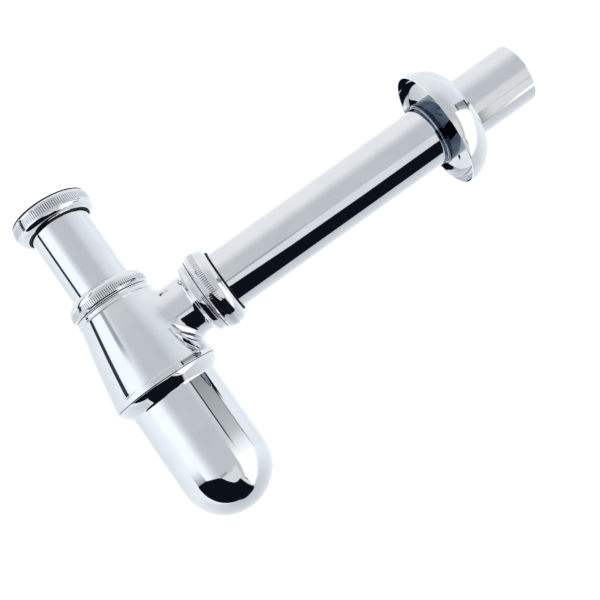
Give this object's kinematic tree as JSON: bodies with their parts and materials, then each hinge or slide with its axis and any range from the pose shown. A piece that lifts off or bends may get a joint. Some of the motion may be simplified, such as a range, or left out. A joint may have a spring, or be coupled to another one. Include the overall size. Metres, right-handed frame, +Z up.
{
  "type": "bottle trap",
  "caption": "Chrome bottle trap: telescopic inlet tube with knurled nuts, bell-shaped body with side branch, screw-off cup, straight outlet pipe and domed wall flange.",
  "frame": {"origin": "centre of the inlet gasket's top face, where the basin waste's threaded tail sits", "axes": "+Z up along the inlet tube, +X along the outlet pipe towards the wall, +Y to the side"},
  "size_m": [0.264, 0.0636, 0.1811],
  "materials": {
    "chrome_nut": "bright chrome plate on brass, fine straight knurl on the grip band",
    "chrome_tube": "bright chrome plate on drawn brass tube",
    "chrome_casting": "bright chrome plate on polished cast brass",
    "chrome_flange": "bright chrome plate on pressed brass sheet",
    "raw_brass": "plain drawn brass, slightly dull",
    "seal_rubber": "matt black moulded rubber",
    "ring_nylon": "natural nylon, satin"
  },
  "bodies": {
    "inlet": {"inlet_tube": "chrome_tube", "inlet_gasket": "seal_rubber"},
    "slip_ring": {"inlet_slip_ring": "ring_nylon"},
    "union_nut": {"inlet_union_nut": "chrome_nut"},
    "neck_seal": {"body_cone_seal": "seal_rubber"},
    "body": {"trap_body": "chrome_casting", "dip_tube": "raw_brass"},
    "neck_ring": {"body_nut_ring": "ring_nylon"},
    "neck_nut": {"body_nut": "chrome_nut"},
    "cup_ring": {"cup_seal": "seal_rubber"},
    "cup": {"cup": "chrome_casting"},
    "branch_ring": {"outlet_nut_ring": "ring_nylon"},
    "branch_nut": {"outlet_nut": "chrome_nut"},
    "branch_seal": {"outlet_cone_seal": "seal_rubber"},
    "pipe": {"outlet_pipe": "chrome_tube"},
    "flange": {"wall_flange": "chrome_flange"}
  },
  "joints": [
    {"name": "slip_ring_slide", "type": "slide", "parent": "inlet", "child": "slip_ring", "axis": [0, 0, -1], "range_m": [0, 0.01]},
    {"name": "union_nut_spin", "type": "hinge", "parent": "slip_ring", "child": "union_nut", "pos_m": [0, 0, 0], "axis": [0, 0, 1], "continuous": true},
    {"name": "height_slide", "type": "slide", "parent": "inlet", "child": "neck_seal", "axis": [0, 0, 1], "range_m": [-0.03, 0.012]},
    {"name": "body_swivel", "type": "hinge", "parent": "neck_seal", "child": "body", "pos_m": [0, 0, -0.0775], "axis": [0, 0, 1], "continuous": true},
    {"name": "neck_ring_slide", "type": "slide", "parent": "body", "child": "neck_ring", "axis": [0, 0, 1], "range_m": [0, 0.0061]},
    {"name": "neck_nut_turn", "type": "hinge", "parent": "neck_ring", "child": "neck_nut", "pos_m": [0, 0, -0.0775], "axis": [0, 0, 1], "range_deg": [0, 1440]},
    {"name": "cup_ring_slide", "type": "slide", "parent": "body", "child": "cup_ring", "axis": [0, 0, -1], "range_m": [0, 0.0061]},
    {"name": "cup_turn", "type": "hinge", "parent": "cup_ring", "child": "cup", "pos_m": [0, 0, -0.107], "axis": [0, 0, -1], "range_deg": [0, 1080]},
    {"name": "branch_ring_slide", "type": "slide", "parent": "body", "child": "branch_ring", "axis": [1, 0, 0], "range_m": [0, 0.0061]},
    {"name": "branch_nut_turn", "type": "hinge", "parent": "branch_ring", "child": "branch_nut", "pos_m": [0.05, 0, -0.0775], "axis": [1, 0, 0], "range_deg": [0, 1440]},
    {"name": "pipe_swivel", "type": "hinge", "parent": "body", "child": "branch_seal", "pos_m": [0.05, 0, -0.0775], "axis": [1, 0, 0], "continuous": true},
    {"name": "pipe_slide", "type": "slide", "parent": "branch_seal", "child": "pipe", "axis": [1, 0, 0], "range_m": [0, 0.006]},
    {"name": "flange_slide", "type": "slide", "parent": "pipe", "child": "flange", "axis": [1, 0, 0], "range_m": [-0.1, 0.02]}
  ],
  "couplings": [
    {"joint": "neck_ring_slide", "follows": "neck_nut_turn", "m_per_rad": 0.00023873},
    {"joint": "cup_ring_slide", "follows": "cup_turn", "m_per_rad": 0.00031831},
    {"joint": "branch_ring_slide", "follows": "branch_nut_turn", "m_per_rad": 0.00023873}
  ]
}
